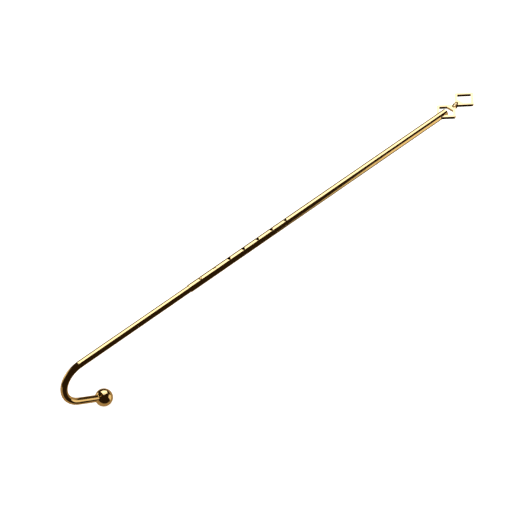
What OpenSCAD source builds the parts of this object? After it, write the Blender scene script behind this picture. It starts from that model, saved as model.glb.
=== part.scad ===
// Telescoping hook rod: a hooked rod slides in an outer tube and locks with a snap button.
// +X runs along the rod from the hook to the links, +Z is up through the adjusting holes,
// and the hook bends down towards -Z. The ball's lowest point is at z = 0.

/* [Outer tube] */
// Outside diameter of the outer tube
tube_od = 11.2; // [11.2:0.1:12]
// Wall thickness of the outer tube
tube_wall = 0.65; // [0.5:0.05:0.65]
// Distance from the tube's mouth to the lowest adjusting hole
mouth_gap = 19.3; // [15:0.1:30]
// Distance from the lowest adjusting hole to the tube's tip
tip_reach = 464; // [440:0.5:520]
// Number of adjusting holes
hole_count = 7; // [2:1:9]
// Spacing of the adjusting holes
hole_pitch = 25; // [20:1:25]
// Diameter of each adjusting hole
hole_d = 4.6; // [4.5:0.1:5]
// Diameter of the cross hole that carries the near link
cross_hole_d = 8.6; // [8.6:0.1:8.8]
// Distance from the tip to the centre of the cross hole
cross_hole_back = 10.7; // [10.4:0.1:11.5]

/* [Hook rod] */
// Diameter of the hook rod
hook_od = 9.7; // [9.5:0.1:9.7]
// Wall thickness left round the hook rod's drilled end
hook_wall = 1; // [0.8:0.1:1.2]
// Depth of the drilled end behind the button
bore_back = 40; // [36:1:60]
// Length of hook rod inside the outer tube, past the button
guide_len = 45; // [40:1:80]
// Distance from the button back to the start of the bend
bend_back = 197.5; // [190:0.5:260]
// Centreline radius of the hook's bend
bend_r = 33.5; // [28:0.5:40]
// Angle that the bend turns through
bend_turn = 144; // [120:1:160]
// Length of the straight arm, from the bend to the ball's centre
arm_len = 41; // [24:0.5:55]

/* [Ball] */
// Diameter of the ball
ball_d = 24.5; // [18:0.5:26]

/* [Snap button] */
// Diameter of the button
button_d = 4.2; // [4:0.1:4.2]
// Height of the button's dome above the outer tube
button_proud = 0.7; // [0.4:0.1:1]
// Thickness of the V spring leaf
leaf_t = 0.6; // [0.5:0.1:0.8]
// Width of the V spring leaf
leaf_w = 4; // [3:0.1:4.2]
// Length of the V spring leaf
leaf_len = 32; // [26:1:38]

/* [Links] */
// Outside width of a square link
link_w = 27.8; // [27.6:0.1:28]
// Width of a link's bar, seen from above
bar_w = 3.8; // [3.6:0.1:3.8]
// Height of a link's bar
bar_h = 4.4; // [4:0.1:4.4]
// Outside radius of a link's corners
corner_r = 3; // [2.5:0.1:3.5]
// Leg of the filled inner corner where the two links meet
fill_leg = 9; // [8:0.5:10]
// Diameter of the hole through a filled corner
eye_d = 5; // [4.8:0.1:5.2]
// Distance from a link's sharp outer corner to its corner hole
eye_back = 6.4; // [6.2:0.1:6.8]
// Distance between the rounded corners of the two links
link_gap = 1; // [0.9:0.1:1.5]
// Wire diameter of the joining ring
ring_wire = 2.2; // [1.8:0.1:2.2]

/* [Hidden] */
$fn = 64;
tube_id = tube_od - 2 * tube_wall;
hook_id = hook_od - 2 * hook_wall;
ball_r = ball_d / 2;
gold = [0.86, 0.68, 0.32];
steel = [0.62, 0.62, 0.6];

// Places in the hook's plane are [x, z]. The arm leaves the bend at arm_heading, measured from +X.
arm_heading = bend_turn - 180;
bend_centre = [-bend_back, -bend_r];
arm_start = bend_centre + bend_r * [cos(90 + bend_turn), sin(90 + bend_turn)];
ball_at = arm_start + arm_len * [cos(arm_heading), sin(arm_heading)];
// The arm is turned a hair thinner than the bend and runs a little way into it.
arm_d = hook_od - 0.1;
arm_lap = 1;
// The arm's end face seats in a shallow recess in the ball.
seat_depth = 0.5;
seat_back = sqrt(ball_r * ball_r - hook_od * hook_od / 4) - seat_depth;
stud_in_arm = 9;
stud_d = 5;
stud_gap = 0.1;
stud_in_ball = 6.5;

// The V leaf's legs lie this far above and below the bore's axis, clear of its round wall.
leaf_lift = hook_id / 2 - 1.3;
leaf_end = 3;
dome_r = button_d / 2 + 1;

tip_plug_len = 5;
tip_edge = 0.6;
cross_hole_x = tip_reach - cross_hole_back;

// The link's bars leave the cross hole at 45 degrees, so its corner sits behind the hole.
link_half_diag = link_w / sqrt(2);
corner_loss = corner_r * (sqrt(2) - 1);
wall_inset = 0.625;
bar_cross_y = tube_od / 2 - wall_inset;
near_corner_x = cross_hole_x - bar_cross_y - bar_w / sqrt(2);
near_link_x = near_corner_x + link_half_diag;
far_link_x = near_link_x + 2 * (link_half_diag - corner_loss) + link_gap;
near_eye_x = near_link_x + link_half_diag - eye_back;
far_eye_x = far_link_x - link_half_diag + eye_back;
ring_r = (far_eye_x - near_eye_x) / 2;

// The whole rod is shifted so that the origin is under the middle of its bounding box.
x_min = -bend_back - bend_r - hook_od / 2;
x_max = far_link_x + link_half_diag - corner_loss;
z_min = ball_at[1] - ball_r;
rod_shift = [-(x_min + x_max) / 2, 0, -z_min];

// A round bar along +X from x = from to x = to.
module x_bar(d, from, to) {
    translate([from, 0, 0]) rotate([0, 90, 0]) cylinder(d = d, h = to - from);
}

// Turns what is drawn in the XY plane into the hook's plane, so that +Y becomes +Z.
module in_hook_plane() {
    rotate([90, 0, 0]) children();
}

// The hook's bend: an arc of the hook rod from the end of the straight to the start of the arm.
module bend() {
    in_hook_plane() translate([bend_centre[0], bend_centre[1], 0]) rotate([0, 0, 90])
        rotate_extrude(angle = bend_turn) translate([bend_r, 0]) circle(d = hook_od);
}

// Places children at the ball's centre with +X pointing back along the arm.
module at_ball() {
    in_hook_plane() translate([ball_at[0], ball_at[1], 0]) rotate([0, 0, arm_heading + 180]) children();
}

module outer_tube() {
    color(gold) difference() {
        x_bar(tube_od, -mouth_gap, tip_reach);
        x_bar(tube_id, -mouth_gap - 1, tip_reach + 1);
        for (i = [0 : hole_count - 1])
            translate([i * hole_pitch, 0, 0]) cylinder(d = hole_d, h = tube_od);
        translate([cross_hole_x, tube_od, 0]) rotate([90, 0, 0]) cylinder(d = cross_hole_d, h = 2 * tube_od);
    }
}

module tip_plug() {
    color(gold) {
        x_bar(tube_id, tip_reach - tip_plug_len, tip_reach);
        translate([tip_reach, 0, 0]) rotate([0, 90, 0])
            cylinder(d1 = tube_id, d2 = tube_id - 2 * tip_edge, h = tip_edge);
    }
}

module hook_rod() {
    color(gold) difference() {
        union() {
            x_bar(hook_od, -bend_back, guide_len);
            bend();
            at_ball() x_bar(arm_d, seat_back, arm_len + arm_lap);
        }
        x_bar(hook_id, -bore_back, guide_len + 1);
        cylinder(d = button_d + 0.2, h = hook_od);
        at_ball() x_bar(stud_d + 2 * stud_gap, 0, seat_back + stud_in_arm + stud_gap);
    }
}

module ball_stud() {
    color(steel) at_ball() x_bar(stud_d, seat_back - stud_in_ball, seat_back + stud_in_arm);
}

module ball() {
    color(gold) at_ball() difference() {
        sphere(r = ball_r, $fn = 96);
        x_bar(hook_od + 0.1, seat_back, ball_r + 1);
        x_bar(stud_d + 2 * stud_gap, seat_back - stud_in_ball - stud_gap, ball_r);
    }
}

// A strip bent into a V: the lower leg rests on the bore's floor, the upper leg carries the button.
module spring_leaf() {
    color(steel) translate([0, leaf_w / 2, 0]) rotate([90, 0, 0]) linear_extrude(leaf_w)
        polygon([[leaf_end, leaf_lift], [leaf_end, leaf_lift - leaf_t], [leaf_t * 2 - leaf_len, -leaf_lift],
                 [leaf_end, -leaf_lift], [leaf_end, -leaf_lift - leaf_t], [-leaf_len, -leaf_lift - leaf_t],
                 [-leaf_len, -leaf_lift]]);
}

module snap_button() {
    top = tube_od / 2 + button_proud;
    color(gold) intersection() {
        translate([0, 0, leaf_lift]) cylinder(d = button_d, h = top - leaf_lift);
        translate([0, 0, top - dome_r]) sphere(r = dome_r);
    }
}

// A square of half width a with corners rounded to radius r.
module round_square(a, r) {
    square([2 * a, 2 * (a - r)], center = true);
    square([2 * (a - r), 2 * a], center = true);
    for (x = [-1, 1], y = [-1, 1]) translate([x * (a - r), y * (a - r)]) circle(r = r);
}

// One link with its filled corner and corner hole towards +X.
module square_link() {
    difference() {
        translate([0, 0, -bar_h / 2]) linear_extrude(bar_h) link_shape();
        translate([link_half_diag - eye_back, 0, -bar_h]) cylinder(d = eye_d, h = 2 * bar_h);
    }
}

module link_shape() {
    half = link_w / 2;
    inner = half - bar_w;
    fill_x = inner * sqrt(2) - fill_leg / sqrt(2);
    difference() {
        rotate(45) round_square(half, corner_r);
        intersection() {
            rotate(45) round_square(inner, 0.6);
            translate([fill_x - 4 * link_w, -link_w]) square([4 * link_w, 2 * link_w]);
        }
    }
}

module near_link() {
    color(gold) translate([near_link_x, 0, 0]) square_link();
}

module far_link() {
    color(gold) translate([far_link_x, 0, 0]) mirror([1, 0, 0]) square_link();
}

module joining_ring() {
    color(gold) translate([(near_eye_x + far_eye_x) / 2, 0, 0]) rotate([90, 0, 0])
        rotate_extrude() translate([ring_r, 0]) circle(d = ring_wire);
}

translate(rod_shift) {
    outer_tube();
    tip_plug();
    hook_rod();
    ball_stud();
    ball();
    spring_leaf();
    snap_button();
    near_link();
    joining_ring();
    far_link();
}
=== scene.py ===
"""A gold-tone telescoping hook rod on a pale studio floor, laid out as an add-on.

Each operator makes one piece, or a group of like pieces, and lets it ride on its body of the frame.
Sizes are in metres in the part's own frame: +X along the rod, +Z up through the adjusting holes.
"""

import math

import bmesh
import bpy
import numpy as np
from bpy.props import FloatProperty, FloatVectorProperty, IntProperty, PointerProperty
from bpy.types import Operator, Panel, PropertyGroup
from mathutils import Matrix, Vector


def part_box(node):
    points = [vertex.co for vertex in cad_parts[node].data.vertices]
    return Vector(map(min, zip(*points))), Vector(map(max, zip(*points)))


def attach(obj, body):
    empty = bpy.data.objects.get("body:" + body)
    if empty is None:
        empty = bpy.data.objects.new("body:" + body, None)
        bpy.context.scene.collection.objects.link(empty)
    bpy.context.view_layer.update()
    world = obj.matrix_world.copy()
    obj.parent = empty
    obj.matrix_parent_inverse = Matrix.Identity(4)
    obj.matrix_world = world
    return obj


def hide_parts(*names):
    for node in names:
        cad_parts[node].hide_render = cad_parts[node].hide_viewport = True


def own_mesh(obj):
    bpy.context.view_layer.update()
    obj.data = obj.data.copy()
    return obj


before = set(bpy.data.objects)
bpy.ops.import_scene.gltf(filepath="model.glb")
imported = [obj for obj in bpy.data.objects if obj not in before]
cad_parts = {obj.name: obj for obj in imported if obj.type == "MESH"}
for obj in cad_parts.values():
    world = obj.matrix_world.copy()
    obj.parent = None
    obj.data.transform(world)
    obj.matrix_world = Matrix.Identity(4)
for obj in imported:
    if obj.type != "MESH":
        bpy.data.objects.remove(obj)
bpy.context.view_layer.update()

bl_info = {
    "name": "Telescoping hook rod",
    "version": (1, 0, 0),
    "blender": (4, 5, 0),
    "location": "3D View > Sidebar > Hook Rod",
    "description": "Builds a telescoping hook rod with a ball tip, a snap button and two linked square rings",
    "category": "Add Mesh",
}

# Places that the frame already fixes: the tube's ends and axis, and the boxes of the other pieces.
TUBE_LOW, TUBE_HIGH = (np.array(corner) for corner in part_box("outer_tube"))
AXIS_Z = (TUBE_LOW[2] + TUBE_HIGH[2]) / 2
MOUTH_X = TUBE_LOW[0]
TIP_X = TUBE_HIGH[0]
BUTTON_LOW, BUTTON_HIGH = (np.array(corner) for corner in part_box("snap_button"))
BUTTON_X = (BUTTON_LOW[0] + BUTTON_HIGH[0]) / 2
HOOK_HIGH = np.array(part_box("hook_rod")[1])
LEAF_LOW, LEAF_HIGH = (np.array(corner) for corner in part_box("spring_leaf"))
NEAR_LOW, NEAR_HIGH = (np.array(corner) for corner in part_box("near_link"))
FAR_LOW, FAR_HIGH = (np.array(corner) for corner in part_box("far_link"))
RING_LOW, RING_HIGH = (np.array(corner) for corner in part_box("joining_ring"))
PLUG_LOW, PLUG_HIGH = (np.array(corner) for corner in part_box("tip_plug"))

# Grid columns round a pipe, and how many grid steps a hole's edge and its patch's border lie from the
# hole's centre, for the small adjusting holes and for the large cross hole.
AROUND = 96
TURN_STEP = 2 * math.pi / AROUND
SMALL_EDGE, SMALL_PATCH = 6, 12
LARGE_EDGE, LARGE_PATCH = 10, 20
PLAIN_STEP = 0.005

# Turns in degrees: the least angle of a sharp edge, and the least that a softened edge is rounded at.
SHARP_TURN = 40
SOFTEN_TURN = 35

RING_ROWS = 160
WIRE_AROUND = 40
ROD_EDGE = 0.0001
FLOOR_HALF = 6.0
CARD_Z = -0.002


def length(name, text, value):
    """A length property in metres."""
    return FloatProperty(name=name, description=text, default=value, unit="LENGTH", precision=4)


def colour(name, text, value):
    """A colour property, linear red, green and blue."""
    return FloatVectorProperty(name=name, description=text, default=value, subtype="COLOR", min=0, max=1)


class TubeSizes(PropertyGroup):
    """Sizes of the outer tube and its plug."""

    wall: length("Wall", "Thickness of the tube's wall", 0.00065)
    hole: length("Adjusting hole", "Diameter of each adjusting hole", 0.0046)
    pitch: length("Hole spacing", "Distance between adjusting holes", 0.025)
    holes: IntProperty(name="Holes", description="Number of adjusting holes", default=7, min=1, max=9)
    cross_hole: length("Cross hole", "Diameter of the hole that carries the near link", 0.0086)
    cross_back: length("Cross hole from tip", "Distance from the tip to the cross hole's centre", 0.0107)
    edge: length("Edge rounding", "Rounding of the tube's cut edges", 0.00012)


class HookSizes(PropertyGroup):
    """Sizes of the hook rod, its ball and the snap button."""

    wall: length("Bore wall", "Wall left round the drilled end", 0.001)
    bore_back: length("Bore depth", "Depth of the drilled end behind the button", 0.040)
    button_hole: length("Button hole", "Diameter of the button's hole in the rod", 0.0044)
    bend_back: length("Bend start", "Distance from the button back to the bend", 0.1975)
    bend_radius: length("Bend radius", "Centreline radius of the hook's bend", 0.0335)
    bend_turn: FloatProperty(
        name="Bend angle",
        description="Angle that the hook's bend turns through",
        default=math.radians(144),
        subtype="ANGLE",
    )
    arm: length("Arm", "Length from the end of the bend to the ball's centre", 0.041)
    ball: length("Ball", "Diameter of the ball", 0.0245)
    leaf: length("Spring leaf", "Thickness of the spring leaf", 0.0006)
    press: length("Button travel", "How far the button can be pressed", 0.0016)
    seat: length("Seat depth", "Depth of the recess that the arm's end sits in", 0.0005)


class LinkSizes(PropertyGroup):
    """Sizes of the square links and the ring that joins them."""

    width: length("Link width", "Outside width of a square link", 0.0278)
    bar: length("Bar width", "Width of a link's bar from above", 0.0038)
    corner: length("Corner radius", "Outside radius of a link's corners", 0.003)
    inner_corner: length("Inner corner radius", "Inside radius of a link's corners", 0.0006)
    fill: length("Filled corner", "Leg of the filled inner corner", 0.009)
    eye: length("Corner hole", "Diameter of the hole through the filled corner", 0.005)
    eye_back: length("Corner hole place", "Distance from the sharp corner to the hole's centre", 0.0064)
    edge: length("Edge rounding", "Rounding of a link's edges", 0.0003)
    wire: length("Ring wire", "Wire diameter of the joining ring", 0.0022)


class RodColours(PropertyGroup):
    """Colours of the finishes."""

    tube_gold: colour("Tube gold", "Polished gold tone of the outer tube", (1.0, 0.77, 0.40))
    rod_gold: colour("Rod gold", "Polished gold tone of the hook and ball", (1.0, 0.76, 0.38))
    link_gold: colour("Link gold", "Paler gold tone of the links and ring", (0.92, 0.74, 0.44))
    button_gold: colour("Button gold", "Gold tone of the snap button", (0.98, 0.72, 0.34))
    tarnish: colour("Tarnish", "Darker tone in the worn and handled places", (0.62, 0.40, 0.15))
    steel: colour("Steel", "Plain spring steel", (0.60, 0.60, 0.58))


class StudioSettings(PropertyGroup):
    """The camera, the lamps and the floor."""

    camera_at: FloatVectorProperty(
        name="Camera",
        description="Place of the camera",
        default=(-0.62004, -0.95118, 1.21931),
        subtype="TRANSLATION",
    )
    aim: FloatVectorProperty(
        name="Aim",
        description="Point that the camera looks at",
        default=(-0.06110, -0.01169, 0.09695),
        subtype="TRANSLATION",
    )
    roll: FloatProperty(
        name="Roll",
        description="Turn of the camera about its own line of sight",
        default=math.radians(11.6),
        subtype="ANGLE",
    )
    lens: FloatProperty(name="Lens", description="Focal length in millimetres", default=81.82)
    floor: colour("Floor", "Pale floor", (0.98, 0.98, 0.97))
    surroundings: colour(
        "Surroundings",
        "Dark tone that the metal mirrors away from the lamps",
        (0.020, 0.011, 0.004),
    )
    key: FloatProperty(
        name="Overhead lamp",
        description="Brightness of the long overhead lamp",
        default=1.7,
    )
    warm: FloatProperty(
        name="Side lamp",
        description="Brightness of the warm lamp on the right",
        default=0.85,
    )
    patch: FloatProperty(
        name="Back lamp",
        description="Brightness of the lamp at the back left",
        default=0.9,
    )
    card: colour("Card", "Warm tone of the card under the rod", (1.0, 0.72, 0.40))
    glow: FloatProperty(
        name="Card glow",
        description="Brightness of the card under the rod",
        default=0.36,
    )


# ---------------------------------------------------------------- surfaces


def grid_faces(rows, columns):
    """The four-sided faces of a grid whose columns close round on themselves."""
    i = np.arange(rows - 1)[:, None]
    j = np.arange(columns)[None, :]
    k = (j + 1) % columns
    corners = [i * columns + j, (i + 1) * columns + j, (i + 1) * columns + k, i * columns + k]
    return np.stack(np.broadcast_arrays(*corners), axis=-1).reshape(-1, 4)


def turned(profile, centre, axis, across):
    """A closed turned piece: each (distance along the axis, radius) is carried round the axis.

    The point is centre + distance * axis + radius * (cos t * across + sin t * the third direction).
    The first and last profile points have radius 0, and each is one shared point.
    """
    profile = np.asarray(profile, dtype=float)
    axis = np.asarray(axis, dtype=float)
    across = np.asarray(across, dtype=float)
    third = np.cross(axis, across)
    t = np.linspace(0, 2 * np.pi, AROUND, endpoint=False)
    spoke = np.cos(t)[:, None] * across + np.sin(t)[:, None] * third
    rings = profile[1:-1]
    body = np.asarray(centre) + rings[:, None, :1] * axis + rings[:, None, 1:] * spoke
    ends = np.asarray(centre) + profile[[0, -1], :1] * axis
    points = np.vstack([body.reshape(-1, 3), ends])
    faces = grid_faces(len(rings), AROUND).tolist()
    first = len(points) - 2
    last_ring = (len(rings) - 1) * AROUND
    around = np.arange(AROUND)
    after = (around + 1) % AROUND
    faces += np.stack([around, after, np.full(AROUND, first)], 1).tolist()
    faces += np.stack([last_ring + after, last_ring + around, np.full(AROUND, first + 1)], 1).tolist()
    return points, faces


def arc(centre, radius, start, end, steps):
    """Points on a circle about centre, from start to end degrees, as (first, second) pairs."""
    t = np.radians(np.linspace(start, end, steps))
    return np.stack([centre[0] + radius * np.cos(t), centre[1] + radius * np.sin(t)], 1)


def grid_lines(low, high, holes, step):
    """Grid line places from low to high: fine and even round each hole, and about step apart elsewhere.

    A hole is (place, half width of its patch, number of lines in half a patch).
    """
    parts = []
    at = low
    for place, half, lines in holes:
        gap = place - half - at
        parts.append(np.linspace(at, place - half, max(2, int(gap / step) + 1), endpoint=False))
        parts.append(np.linspace(place - half, place + half, 2 * lines, endpoint=False))
        at = place + half
    parts.append(np.linspace(at, high, max(2, int((high - at) / step) + 1)))
    return np.concatenate(parts)


def pierced(lines, radius, holes):
    """Places (line, angle) on a pierced pipe, and its faces.

    Round a hole, square rings of the grid turn into circles: a point's place is a mix of its place on
    the patch's square border and its place on the hole's circle, by its ring's number. The faces
    within the innermost ring are left out. The hole is straight, so its edge is as far round the
    pipe as the arc sine of its offset over the pipe's radius.
    """
    along, angle = np.meshgrid(lines, np.linspace(0, 2 * np.pi, AROUND, endpoint=False), indexing="ij")
    faces = grid_faces(len(lines), AROUND)
    for place, turn, hole_radius, half, patch, block in holes:
        row = int(np.argmin(np.abs(lines - place)))
        column = int(round(turn / TURN_STEP))
        beside = (np.arange(AROUND) - column + AROUND // 2) % AROUND - AROUND // 2
        di, dj = np.meshgrid(np.arange(len(lines)) - row, beside, indexing="ij")
        ring = np.maximum(np.abs(di), np.abs(dj))
        share = np.clip((ring - block) / (patch - block), 0, 1)
        heading = np.arctan2(dj, di)
        safe = np.maximum(ring, 1)
        circle_along = hole_radius * np.cos(heading)
        circle_turn = np.arcsin(np.clip(hole_radius * np.sin(heading) / radius, -1, 1))
        square_along = half * di / safe
        square_turn = patch * TURN_STEP * dj / safe
        inside = ring <= patch
        along = np.where(inside, place + (1 - share) * circle_along + share * square_along, along)
        angle = np.where(inside, turn + (1 - share) * circle_turn + share * square_turn, angle)
        open_corner = (ring <= block).reshape(-1)
        faces = faces[~open_corner[faces].all(axis=1)]
    return along, angle, faces


def rim_edges(faces):
    """The edges that only one face uses, each in the direction that its face runs."""
    edges = np.stack([faces, np.roll(faces, -1, axis=1)], -1).reshape(-1, 2)
    key = np.sort(edges, axis=1)
    _, where, count = np.unique(key, axis=0, return_index=True, return_counts=True)
    return edges[where[count == 1]]


def pipe_points(along, angle, radius):
    """Points of a straight pipe on the rod's axis: angle 0 is straight up."""
    return np.stack([along, radius * np.sin(angle), AXIS_Z + radius * np.cos(angle)], -1).reshape(-1, 3)


def make_piece(name, points, faces, finish, body, stands_for, uv=None):
    """A mesh object with its place in its mesh, smooth between sharp edges, faces outwards."""
    mesh = bpy.data.meshes.new(name)
    mesh.from_pydata(np.asarray(points).tolist(), [], [list(face) for face in faces])
    mesh.update()
    if uv is not None:
        layer = mesh.uv_layers.new(name="Along")
        loop_points = np.empty(len(mesh.loops), dtype=np.int64)
        mesh.loops.foreach_get("vertex_index", loop_points)
        layer.data.foreach_set("uv", uv[loop_points].astype(np.float32).reshape(-1))
    tidy = bmesh.new()
    tidy.from_mesh(mesh)
    loose = [v for v in tidy.verts if not v.link_faces]
    bmesh.ops.delete(tidy, geom=loose, context="VERTS")
    bmesh.ops.recalc_face_normals(tidy, faces=tidy.faces)
    tidy.to_mesh(mesh)
    tidy.free()
    mesh.shade_smooth()
    mesh.set_sharp_from_angle(angle=math.radians(SHARP_TURN))
    mesh.materials.append(finish)
    obj = bpy.data.objects.new(name, mesh)
    bpy.context.scene.collection.objects.link(obj)
    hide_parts(stands_for)
    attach(obj, body)
    return obj


def soften(obj, width):
    """Rounds the piece's sharp edges by width."""
    bevel = obj.modifiers.new("Softened edges", "BEVEL")
    bevel.width = width
    bevel.segments = 3
    bevel.limit_method = "ANGLE"
    bevel.angle_limit = math.radians(SOFTEN_TURN)
    bevel.harden_normals = True


# ---------------------------------------------------------------- finishes


def polished_metal(name, tone, tarnish, shine=(0.05, 0.13), stretch=(4, 260, 260), along_uv=False):
    """Polished plated metal: fine drawn lines, soft smears in the shine and a little tarnish."""
    material = bpy.data.materials.new(name)
    material.use_nodes = True
    nodes = material.node_tree.nodes
    links = material.node_tree.links
    shader = nodes["Principled BSDF"]
    shader.inputs["Metallic"].default_value = 1.0
    place = nodes.new("ShaderNodeTexCoord")
    source = place.outputs["UV"] if along_uv else place.outputs["Object"]

    drawn = nodes.new("ShaderNodeMapping")
    drawn.inputs["Scale"].default_value = stretch
    links.new(source, drawn.inputs["Vector"])
    lines = nodes.new("ShaderNodeTexNoise")
    lines.inputs["Scale"].default_value = 12
    lines.inputs["Detail"].default_value = 3
    links.new(drawn.outputs["Vector"], lines.inputs["Vector"])

    smears = nodes.new("ShaderNodeTexNoise")
    smears.inputs["Scale"].default_value = 55
    smears.inputs["Detail"].default_value = 4
    smears.inputs["Roughness"].default_value = 0.6
    links.new(place.outputs["Object"], smears.inputs["Vector"])

    gloss = nodes.new("ShaderNodeMapRange")
    gloss.inputs["From Min"].default_value = 0.3
    gloss.inputs["From Max"].default_value = 0.7
    gloss.inputs["To Min"].default_value = shine[0]
    gloss.inputs["To Max"].default_value = shine[1]
    links.new(smears.outputs["Fac"], gloss.inputs["Value"])
    links.new(gloss.outputs["Result"], shader.inputs["Roughness"])

    amount = nodes.new("ShaderNodeMapRange")
    amount.inputs["From Min"].default_value = 0.55
    amount.inputs["From Max"].default_value = 0.80
    amount.inputs["To Max"].default_value = 0.30
    links.new(smears.outputs["Fac"], amount.inputs["Value"])
    tint = nodes.new("ShaderNodeMix")
    tint.data_type = "RGBA"
    tint.inputs["A"].default_value = (*tone, 1)
    tint.inputs["B"].default_value = (*tarnish, 1)
    links.new(amount.outputs["Result"], tint.inputs["Factor"])
    links.new(tint.outputs["Result"], shader.inputs["Base Color"])

    relief = nodes.new("ShaderNodeBump")
    relief.inputs["Strength"].default_value = 0.05
    relief.inputs["Distance"].default_value = 0.0001
    links.new(lines.outputs["Fac"], relief.inputs["Height"])
    links.new(relief.outputs["Normal"], shader.inputs["Normal"])
    return material


# ---------------------------------------------------------------- pieces


class HOOKROD_OT_outer_tube(Operator):
    """Make the outer tube with its adjusting holes and cross hole"""

    bl_idname = "hookrod.outer_tube"
    bl_label = "Outer tube"

    def execute(self, context):
        sizes = context.scene.tube_sizes
        tones = context.scene.rod_colours
        outer = (TUBE_HIGH[2] - TUBE_LOW[2]) / 2
        inner = outer - sizes.wall
        half = SMALL_PATCH * TURN_STEP * outer
        cross_half = LARGE_PATCH * TURN_STEP * outer
        cross_x = TIP_X - sizes.cross_back
        row = [BUTTON_X + sizes.pitch * i for i in range(sizes.holes)]
        spots = [(x, half, SMALL_PATCH) for x in row] + [(cross_x, cross_half, LARGE_PATCH)]
        lines = grid_lines(MOUTH_X, TIP_X, spots, PLAIN_STEP)
        holes = [(x, 0, sizes.hole / 2, half, SMALL_PATCH, SMALL_EDGE) for x in row]
        for turn in (math.pi / 2, 3 * math.pi / 2):
            holes.append((cross_x, turn, sizes.cross_hole / 2, cross_half, LARGE_PATCH, LARGE_EDGE))
        along, angle, faces = pierced(lines, outer, holes)
        along_in, angle_in, _ = pierced(lines, inner, holes)
        points = np.vstack([pipe_points(along, angle, outer), pipe_points(along_in, angle_in, inner)])
        count = along.size
        rim = rim_edges(faces)
        walls = np.stack([rim[:, 1], rim[:, 0], rim[:, 0] + count, rim[:, 1] + count], 1)
        whole = np.vstack([faces, faces[:, ::-1] + count, walls])
        gold = polished_metal("Polished gold tube", tones.tube_gold, tones.tarnish)
        tube = make_piece("tube", points, whole, gold, "outer", "outer_tube")
        soften(tube, sizes.edge)
        return {"FINISHED"}


class HOOKROD_OT_tip_plug(Operator):
    """Make the domed plug in the tube's tip"""

    bl_idname = "hookrod.tip_plug"
    bl_label = "Tip plug"

    def execute(self, context):
        tones = context.scene.rod_colours
        radius = (PLUG_HIGH[2] - PLUG_LOW[2]) / 2
        reach = PLUG_HIGH[0] - PLUG_LOW[0]
        edge = 0.0006
        face = reach - edge
        rounding = arc((face, radius - edge), edge, 90, 0, 8)
        dimple = [(reach, radius * 0.35), (reach - 0.00015, radius * 0.22), (reach - 0.0002, 0)]
        profile = np.vstack([[(0, 0), (0, radius)], rounding, dimple])
        points, faces = turned(profile, (PLUG_LOW[0], 0, AXIS_Z), (1, 0, 0), (0, 0, 1))
        gold = polished_metal("Turned gold plug", tones.tube_gold, tones.tarnish, stretch=(260, 260, 260))
        make_piece("tip_plug_cap", points, faces, gold, "outer", "tip_plug")
        return {"FINISHED"}


def hook_line(sizes, stations):
    """Centre, upward normal and heading of the hook's centre line at each distance behind the button.

    Straight along -X, then round the bend's circle, then straight down the arm.
    """
    turn = np.clip((stations - sizes.bend_back) / sizes.bend_radius, 0, sizes.bend_turn)
    straight = np.minimum(stations, sizes.bend_back)
    beyond = np.maximum(stations - sizes.bend_back - sizes.bend_radius * sizes.bend_turn, 0)
    normal = np.stack([-np.sin(turn), 0 * turn, np.cos(turn)], 1)
    heading = np.stack([-np.cos(turn), 0 * turn, -np.sin(turn)], 1)
    hub = np.stack([BUTTON_X - straight, 0 * turn, 0 * turn + AXIS_Z - sizes.bend_radius], 1)
    return hub + sizes.bend_radius * normal + beyond[:, None] * heading, normal, heading


def seat_distance(sizes, rod):
    """Distance from the ball's centre to the floor of its seat, for a rod of this radius."""
    return math.sqrt((sizes.ball / 2) ** 2 - rod**2) - sizes.seat


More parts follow.
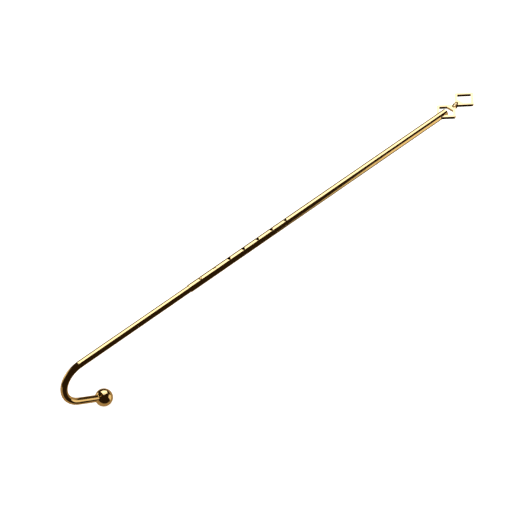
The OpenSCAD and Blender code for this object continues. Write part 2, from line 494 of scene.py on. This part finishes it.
class HOOKROD_OT_hook(Operator):
    """Make the hook rod: straight, bend and arm in one sweep, with its drilled end"""

    bl_idname = "hookrod.hook"
    bl_label = "Hook rod"

    def execute(self, context):
        sizes = context.scene.hook_sizes
        tones = context.scene.rod_colours
        radius = HOOK_HIGH[2] - AXIS_Z
        bore = radius - sizes.wall
        guide = HOOK_HIGH[0] - BUTTON_X
        half = SMALL_PATCH * TURN_STEP * radius
        hole = (0.0, 0, sizes.button_hole / 2, half, SMALL_PATCH, SMALL_EDGE)
        bend_end = sizes.bend_back + sizes.bend_radius * sizes.bend_turn
        arm_end = bend_end + sizes.arm - seat_distance(sizes, radius)
        bored = grid_lines(-guide, sizes.bore_back, [(0.0, half, SMALL_PATCH)], PLAIN_STEP)
        plain = np.linspace(sizes.bore_back, sizes.bend_back, 28)[1:]
        bend = np.linspace(sizes.bend_back, bend_end, 73)[1:]
        arm = np.linspace(bend_end, arm_end, 8)[1:]
        lines = np.concatenate([bored, plain, bend, arm])
        along, angle, faces = pierced(lines, radius, [hole])
        centre, normal, _ = hook_line(sizes, along.reshape(-1))
        turn = angle.reshape(-1)[:, None]
        sideways = np.array([0.0, 1.0, 0.0])
        skin = centre + radius * (np.cos(turn) * normal + np.sin(turn) * sideways)
        bore_along, bore_angle, bore_faces = pierced(bored, bore, [hole])
        inside = pipe_points(BUTTON_X - bore_along, bore_angle, bore)
        count = len(skin)
        rim = rim_edges(faces)
        last_row = (len(lines) - 1) * AROUND
        shared = rim[(rim < last_row).all(axis=1)]
        walls = np.stack([shared[:, 1], shared[:, 0], shared[:, 0] + count, shared[:, 1] + count], 1)
        centre_end, _, _ = hook_line(sizes, np.array([arm_end]))
        floor_point = np.array([[BUTTON_X - sizes.bore_back, 0, AXIS_Z]])
        points = np.vstack([skin, inside, centre_end, floor_point])
        arm_cap = count + len(inside)
        bore_cap = arm_cap + 1
        around = np.arange(AROUND)
        after = (around + 1) % AROUND
        bore_row = count + (len(bored) - 1) * AROUND
        caps = np.stack([last_row + around, last_row + after, np.full(AROUND, arm_cap)], 1).tolist()
        caps += np.stack([bore_row + after, bore_row + around, np.full(AROUND, bore_cap)], 1).tolist()
        whole = faces.tolist() + (bore_faces[:, ::-1] + count).tolist() + walls.tolist() + caps
        uv = np.zeros((len(points), 2))
        uv[:count, 0] = along.reshape(-1)
        uv[:count, 1] = radius * np.sin(angle.reshape(-1) / 2)
        gold = polished_metal("Polished gold rod", tones.rod_gold, tones.tarnish, along_uv=True)
        rod = make_piece("hook", points, whole, gold, "hook", "hook_rod", uv=uv)
        soften(rod, ROD_EDGE)
        return {"FINISHED"}


class HOOKROD_OT_ball(Operator):
    """Make the ball on the arm's end"""

    bl_idname = "hookrod.ball"
    bl_label = "Ball"

    def execute(self, context):
        sizes = context.scene.hook_sizes
        tones = context.scene.rod_colours
        rod = HOOK_HIGH[2] - AXIS_Z
        radius = sizes.ball / 2
        station = sizes.bend_back + sizes.bend_radius * sizes.bend_turn + sizes.arm
        centre, _, heading = hook_line(sizes, np.array([station]))
        seat_gap = 0.00005
        lip_turn = 1.2
        lip_depth = 0.0001
        seat_radius = rod + seat_gap
        lip = math.degrees(math.asin(seat_radius / radius)) + lip_turn
        skin = arc((0, 0), radius, 180, lip, 72)[1:]
        seat = seat_distance(sizes, rod)
        mouth = math.sqrt(radius**2 - seat_radius**2)
        socket = [(mouth - lip_depth, seat_radius), (seat, seat_radius), (seat, 0)]
        profile = np.vstack([[(-radius, 0)], skin, socket])
        points, faces = turned(profile, centre[0], -heading[0], (0, 1, 0))
        gold = polished_metal("Polished gold ball", tones.rod_gold, tones.tarnish, stretch=(60, 60, 60))
        make_piece("ball_tip", points, faces, gold, "hook", "ball")
        return {"FINISHED"}


class HOOKROD_OT_button(Operator):
    """Make the domed snap button"""

    bl_idname = "hookrod.button"
    bl_label = "Snap button"

    def execute(self, context):
        tones = context.scene.rod_colours
        radius = (BUTTON_HIGH[0] - BUTTON_LOW[0]) / 2
        height = BUTTON_HIGH[2] - BUTTON_LOW[2]
        flatter = 0.001
        edge_turn = 4
        edge_drop = 0.00012
        dome = radius + flatter
        shoulder = height - dome + math.sqrt(dome**2 - radius**2)
        top = math.degrees(math.asin(radius / dome))
        skin = arc((height - dome, 0), dome, top - edge_turn, 0, 14)
        profile = np.vstack([[(0, 0), (0, radius), (shoulder - edge_drop, radius)], skin])
        points, faces = turned(profile, (BUTTON_X, 0, BUTTON_LOW[2]), (0, 0, 1), (1, 0, 0))
        gold = polished_metal("Gold button", tones.button_gold, tones.tarnish, stretch=(200, 200, 200))
        make_piece("button_dome", points, faces, gold, "button", "snap_button")
        return {"FINISHED"}


def rounded_square_reach(angle, half, rounding):
    """Distance from a rounded square's centre to its outline along each angle, its corners on the axes.

    Folded into one eighth, the line meets either the flat side or the corner's circle.
    """
    turned_angle = angle + math.pi / 4
    wide = np.maximum(np.abs(np.cos(turned_angle)), np.abs(np.sin(turned_angle)))
    narrow = np.minimum(np.abs(np.cos(turned_angle)), np.abs(np.sin(turned_angle)))
    flat = half / wide
    hub = half - rounding
    middle = hub * (wide + narrow)
    inside = np.maximum(middle**2 - 2 * hub**2 + rounding**2, 0)
    return np.where(flat * narrow <= hub, flat, middle + np.sqrt(inside))


def link_surface(sizes, centre, side, height):
    """A square link: a four-cornered bar section carried round from its outer to its inner outline.

    The inner outline is a smaller rounded square, cut off straight at the filled corner on this side.
    """
    half = sizes.width / 2
    hollow = half - sizes.bar
    fill = hollow * math.sqrt(2) - sizes.fill / math.sqrt(2)
    cut_turn = math.atan2(hollow * math.sqrt(2) - fill, fill)
    rounding = math.atan2(half, half - sizes.corner) - math.pi / 4
    turns = [np.linspace(0, 2 * np.pi, 288, endpoint=False), [cut_turn, 2 * np.pi - cut_turn]]
    for quarter in range(4):
        base = quarter * np.pi / 2
        turns.append((base + np.linspace(-rounding, rounding, 25)) % (2 * np.pi))
        turns.append((base + np.linspace(-0.06, 0.06, 17)) % (2 * np.pi))
    angle = np.unique(np.round(np.concatenate(turns), 9))
    angle = angle[np.append(np.diff(angle) > 1e-4, True)]
    outer = rounded_square_reach(angle, half, sizes.corner)
    inner = rounded_square_reach(angle, hollow, sizes.inner_corner)
    towards = np.maximum(np.cos(angle), 1e-6)
    inner = np.where(np.cos(angle) > 0, np.minimum(inner, fill / towards), inner)
    reach = np.stack([outer, outer, inner, inner])
    level = np.array([-0.5, 0.5, 0.5, -0.5])[:, None] * height + 0 * reach
    points = np.stack([centre + side * reach * np.cos(angle), reach * np.sin(angle), AXIS_Z + level], -1)
    columns = len(angle)
    faces = grid_faces(5, columns) % (4 * columns)
    return points.reshape(-1, 3), faces


def drilled(obj, centre, radius, height):
    """Cuts a round upright hole through obj and keeps the result in its mesh."""
    profile = [(-height, 0), (-height, radius), (height, radius), (height, 0)]
    points, faces = turned(profile, centre, (0, 0, 1), (1, 0, 0))
    bit = bpy.data.meshes.new("drill")
    bit.from_pydata(points.tolist(), [], faces)
    drill = bpy.data.objects.new("drill", bit)
    bpy.context.scene.collection.objects.link(drill)
    cut = obj.modifiers.new("Corner hole", "BOOLEAN")
    cut.object = drill
    cut.solver = "EXACT"
    bpy.context.view_layer.update()
    solid = bpy.data.meshes.new_from_object(obj.evaluated_get(bpy.context.evaluated_depsgraph_get()))
    obj.modifiers.remove(cut)
    obj.data = solid
    bpy.data.objects.remove(drill)
    bpy.data.meshes.remove(bit)


class HOOKROD_OT_links(Operator):
    """Make the two square links, each with a drilled filled corner"""

    bl_idname = "hookrod.links"
    bl_label = "Square links"

    def execute(self, context):
        sizes = context.scene.link_sizes
        tones = context.scene.rod_colours
        reach = sizes.width / math.sqrt(2)
        gold = polished_metal("Pale gold links", tones.link_gold, tones.tarnish, (0.09, 0.2), (70, 70, 70))
        for name, body, side, low, high in (
            ("square_link_near", "near_link", 1, NEAR_LOW, NEAR_HIGH),
            ("square_link_far", "far_link", -1, FAR_LOW, FAR_HIGH),
        ):
            centre = (low[0] + high[0]) / 2
            height = high[2] - low[2]
            points, faces = link_surface(sizes, centre, side, height)
            link = make_piece(name, points, faces, gold, body, body)
            drilled(link, (centre + side * (reach - sizes.eye_back), 0, AXIS_Z), sizes.eye / 2, height)
            link.data.shade_smooth()
            link.data.set_sharp_from_angle(angle=math.radians(SHARP_TURN))
            soften(link, sizes.edge)
        return {"FINISHED"}


class HOOKROD_OT_joining_ring(Operator):
    """Make the small wire ring that joins the two links"""

    bl_idname = "hookrod.joining_ring"
    bl_label = "Joining ring"

    def execute(self, context):
        sizes = context.scene.link_sizes
        tones = context.scene.rod_colours
        wire = sizes.wire / 2
        hub_x = (RING_LOW[0] + RING_HIGH[0]) / 2
        radius = (RING_HIGH[2] - RING_LOW[2]) / 2 - wire
        t = np.linspace(0, 2 * np.pi, RING_ROWS, endpoint=False)[:, None]
        p = np.linspace(0, 2 * np.pi, WIRE_AROUND, endpoint=False)[None, :]
        # The closed butt joint at the bottom shows as a shallow groove round the wire.
        joint = np.abs((t - 1.5 * np.pi + np.pi) % (2 * np.pi) - np.pi)
        groove_depth = 0.10
        groove_width = 0.035
        thick = wire * (1 - groove_depth * np.exp(-((joint / groove_width) ** 2)))
        spoke = radius + thick * np.cos(p)
        points = np.stack([hub_x + spoke * np.cos(t), thick * np.sin(p), AXIS_Z + spoke * np.sin(t)], -1)
        faces = grid_faces(RING_ROWS + 1, WIRE_AROUND) % (RING_ROWS * WIRE_AROUND)
        rough = (0.08, 0.16)
        gold = polished_metal("Pale gold ring wire", tones.link_gold, tones.tarnish, rough, (90, 90, 90))
        make_piece("ring", points.reshape(-1, 3), faces, gold, "joining_ring", "joining_ring")
        return {"FINISHED"}


def spring_steel(tones):
    """Rolled steel for the hidden spring leaf and stud."""
    dulled = (0.30, 0.29, 0.27)
    return polished_metal("Rolled spring steel", tones.steel, dulled, (0.22, 0.38), (20, 300, 300))


class HOOKROD_OT_spring_leaf(Operator):
    """Make the V spring leaf"""

    bl_idname = "hookrod.spring_leaf"
    bl_label = "Spring leaf"

    def execute(self, context):
        sizes = context.scene.hook_sizes
        half = sizes.leaf / 2
        fold_ratio = 1.6
        fold = fold_ratio * half
        hub = (LEAF_LOW[0] + half + fold, LEAF_LOW[2] + half + fold)
        rise = LEAF_HIGH[2] - half - hub[1] - fold
        slope = math.degrees(math.atan2(rise, LEAF_HIGH[0] - hub[0]))
        # The strip's middle line: the flat lower leg, the round fold, then the sloping upper leg.
        lower = np.stack([np.linspace(LEAF_HIGH[0], hub[0], 12), np.full(12, hub[1] - fold)], 1)[:-1]
        round_fold = arc(hub, fold, -90, slope - 270, 25)
        upper = np.linspace(round_fold[-1], (LEAF_HIGH[0], LEAF_HIGH[2] - half), 12)[1:]
        line = np.vstack([lower, round_fold, upper])
        run = np.gradient(line, axis=0)
        run /= np.linalg.norm(run, axis=1)[:, None]
        off = half * np.stack([-run[:, 1], run[:, 0]], 1)
        edges = np.stack([line + off, line - off, line - off, line + off], 1)
        width = np.array([LEAF_LOW[1], LEAF_LOW[1], LEAF_HIGH[1], LEAF_HIGH[1]])
        width = np.broadcast_to(width, edges.shape[:2])
        points = np.stack([edges[..., 0], width, edges[..., 1]], -1).reshape(-1, 3)
        last = len(points) - 4
        caps = [[0, 1, 2, 3], [last + 3, last + 2, last + 1, last]]
        faces = grid_faces(len(line), 4).tolist() + caps
        steel = spring_steel(context.scene.rod_colours)
        leaf = make_piece("leaf", points, faces, steel, "hook", "spring_leaf")
        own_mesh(leaf)
        return {"FINISHED"}


class HOOKROD_OT_ball_stud(Operator):
    """Finish the ball's hidden stud in plain steel"""

    bl_idname = "hookrod.ball_stud"
    bl_label = "Ball stud"

    def execute(self, context):
        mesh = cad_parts["ball_stud"].data
        mesh.materials.clear()
        mesh.materials.append(spring_steel(context.scene.rod_colours))
        return {"FINISHED"}


# ---------------------------------------------------------------- stage


def softbox(name, target, direction, distance, width, depth, long_axis, tone, strength):
    """A soft rectangular lamp in this direction from the target, its long side along long_axis."""
    away = Vector(direction).normalized()
    side = Vector(long_axis)
    side = (side - side.dot(away) * away).normalized()
    up = away.cross(side)
    turn = Matrix((side, up, away)).transposed()
    lamp = bpy.data.lights.new(name, "AREA")
    lamp.shape = "RECTANGLE"
    lamp.size = width
    lamp.size_y = depth
    lamp.color = tone
    # An area lamp's surface shines with power / (pi * area).
    lamp.energy = strength * math.pi * width * depth
    obj = bpy.data.objects.new(name, lamp)
    obj.matrix_world = Matrix.Translation(Vector(target) + away * distance) @ turn.to_4x4()
    obj.visible_camera = False
    bpy.context.scene.collection.objects.link(obj)


def bounce_card(name, low, high, tone, strength):
    """A warm card lying under the rod, which only the metal's reflections show."""
    corners = [(low[0], low[1]), (high[0], low[1]), (high[0], high[1]), (low[0], high[1])]
    mesh = bpy.data.meshes.new(name)
    mesh.from_pydata([(x, y, CARD_Z) for x, y in corners], [], [(0, 1, 2, 3)])
    glow = bpy.data.materials.new(name)
    glow.use_nodes = True
    shader = glow.node_tree.nodes["Principled BSDF"]
    shader.inputs["Base Color"].default_value = (0, 0, 0, 1)
    shader.inputs["Specular IOR Level"].default_value = 0
    shader.inputs["Emission Color"].default_value = (*tone, 1)
    shader.inputs["Emission Strength"].default_value = strength
    mesh.materials.append(glow)
    card = bpy.data.objects.new(name, mesh)
    card.visible_camera = False
    card.visible_diffuse = False
    card.visible_shadow = False
    bpy.context.scene.collection.objects.link(card)


def surroundings(tone, floor):
    """Dark warm surroundings for the metal to mirror, and the floor's pale tone behind everything."""
    world = bpy.data.worlds.new("Studio")
    world.use_nodes = True
    nodes = world.node_tree.nodes
    links = world.node_tree.links
    dark = nodes["Background"]
    dark.inputs["Color"].default_value = (*tone, 1)
    pale = nodes.new("ShaderNodeBackground")
    pale.inputs["Color"].default_value = (*floor, 1)
    path = nodes.new("ShaderNodeLightPath")
    choose = nodes.new("ShaderNodeMixShader")
    links.new(path.outputs["Is Camera Ray"], choose.inputs[0])
    links.new(dark.outputs[0], choose.inputs[1])
    links.new(pale.outputs[0], choose.inputs[2])
    links.new(choose.outputs[0], nodes["World Output"].inputs["Surface"])
    bpy.context.scene.world = world


class HOOKROD_OT_stage(Operator):
    """Make the pale floor, the soft lamps and the camera"""

    bl_idname = "hookrod.stage"
    bl_label = "Floor, lamps and camera"

    def execute(self, context):
        studio = context.scene.studio
        corners = FLOOR_HALF * np.array([(-1, -1, 0), (1, -1, 0), (1, 1, 0), (-1, 1, 0)])
        mesh = bpy.data.meshes.new("floor")
        mesh.from_pydata(corners.tolist(), [], [(0, 1, 2, 3)])
        pale = bpy.data.materials.new("Pale floor")
        pale.use_nodes = True
        shader = pale.node_tree.nodes["Principled BSDF"]
        shader.inputs["Base Color"].default_value = (*studio.floor, 1)
        shader.inputs["Roughness"].default_value = 0.9
        shader.inputs["Emission Color"].default_value = (*studio.floor, 1)
        shader.inputs["Emission Strength"].default_value = 1.0
        mesh.materials.append(pale)
        floor = bpy.data.objects.new("floor", mesh)
        floor.visible_glossy = False
        bpy.context.scene.collection.objects.link(floor)
        surroundings(studio.surroundings, studio.floor)

        middle = ((MOUTH_X + TIP_X) / 2, 0, AXIS_Z)
        ahead = (1.54, 0, AXIS_Z)
        white = (1.0, 0.98, 0.92)
        warm = (1.0, 0.84, 0.58)
        softbox(
            "overhead_lamp",
            target=ahead,
            direction=(0, 0.36, 0.93),
            distance=1.9,
            width=3.34,
            depth=2.3,
            long_axis=(1, 0, 0),
            tone=white,
            strength=studio.key,
        )
        softbox(
            "side_lamp",
            target=middle,
            direction=(0.74, -0.60, -0.22),
            distance=2.25,
            width=1.8,
            depth=2.4,
            long_axis=(0.7, 0.7, 0),
            tone=warm,
            strength=studio.warm,
        )
        softbox(
            "back_lamp",
            target=middle,
            direction=(-0.62, 0.76, 0.05),
            distance=2.2,
            width=1.3,
            depth=1.5,
            long_axis=(0.7, 0.6, 0),
            tone=warm,
            strength=studio.patch,
        )
        bounce_card("hook_card", (-0.9, -0.03), (0.18, 1.2), studio.card, studio.glow)
        bounce_card("tip_card", (0.18, 0.0), (1.2, 1.2), studio.card, studio.glow)

        away = Vector(studio.camera_at) - Vector(studio.aim)
        back = away.normalized()
        level = Vector((0, 0, 1)).cross(back).normalized()
        upright = back.cross(level)
        right = math.cos(studio.roll) * level - math.sin(studio.roll) * upright
        up = back.cross(right)
        turn = Matrix((right, up, back)).transposed()
        lens = bpy.data.cameras.new("camera")
        lens.lens = studio.lens
        lens.sensor_width = 36
        lens.clip_end = 50
        camera = bpy.data.objects.new("camera", lens)
        camera.matrix_world = Matrix.Translation(studio.camera_at) @ turn.to_4x4()
        bpy.context.scene.collection.objects.link(camera)
        bpy.context.scene.camera = camera
        bpy.context.scene.view_settings.view_transform = "Standard"
        return {"FINISHED"}


PIECES = (
    HOOKROD_OT_outer_tube,
    HOOKROD_OT_tip_plug,
    HOOKROD_OT_hook,
    HOOKROD_OT_ball,
    HOOKROD_OT_button,
    HOOKROD_OT_links,
    HOOKROD_OT_joining_ring,
    HOOKROD_OT_spring_leaf,
    HOOKROD_OT_ball_stud,
    HOOKROD_OT_stage,
)


class HOOKROD_PT_panel(Panel):
    """Lists the hook rod's pieces and their sizes"""

    bl_label = "Hook Rod"
    bl_idname = "HOOKROD_PT_panel"
    bl_space_type = "VIEW_3D"
    bl_region_type = "UI"
    bl_category = "Hook Rod"

    def draw(self, context):
        layout = self.layout
        for piece in PIECES:
            layout.operator(piece.bl_idname)
        for group_name in SETTINGS:
            box = layout.box()
            group = getattr(context.scene, group_name)
            for value in group.bl_rna.properties:
                if value.identifier not in {"rna_type", "name"}:
                    box.prop(group, value.identifier)


SETTINGS = {
    "tube_sizes": TubeSizes,
    "hook_sizes": HookSizes,
    "link_sizes": LinkSizes,
    "rod_colours": RodColours,
    "studio": StudioSettings,
}


def register():
    for name, group in SETTINGS.items():
        bpy.utils.register_class(group)
        setattr(bpy.types.Scene, name, PointerProperty(type=group))
    for piece in PIECES:
        bpy.utils.register_class(piece)
    bpy.utils.register_class(HOOKROD_PT_panel)


def unregister():
    bpy.utils.unregister_class(HOOKROD_PT_panel)
    for piece in reversed(PIECES):
        bpy.utils.unregister_class(piece)
    for name, group in SETTINGS.items():
        delattr(bpy.types.Scene, name)
        bpy.utils.unregister_class(group)


def main():
    """Makes every piece and the stage."""
    register()
    bpy.ops.hookrod.outer_tube()
    bpy.ops.hookrod.tip_plug()
    bpy.ops.hookrod.hook()
    bpy.ops.hookrod.ball()
    bpy.ops.hookrod.button()
    bpy.ops.hookrod.links()
    bpy.ops.hookrod.joining_ring()
    bpy.ops.hookrod.spring_leaf()
    bpy.ops.hookrod.ball_stud()
    bpy.ops.hookrod.stage()


if __name__ == "__main__":
    main()
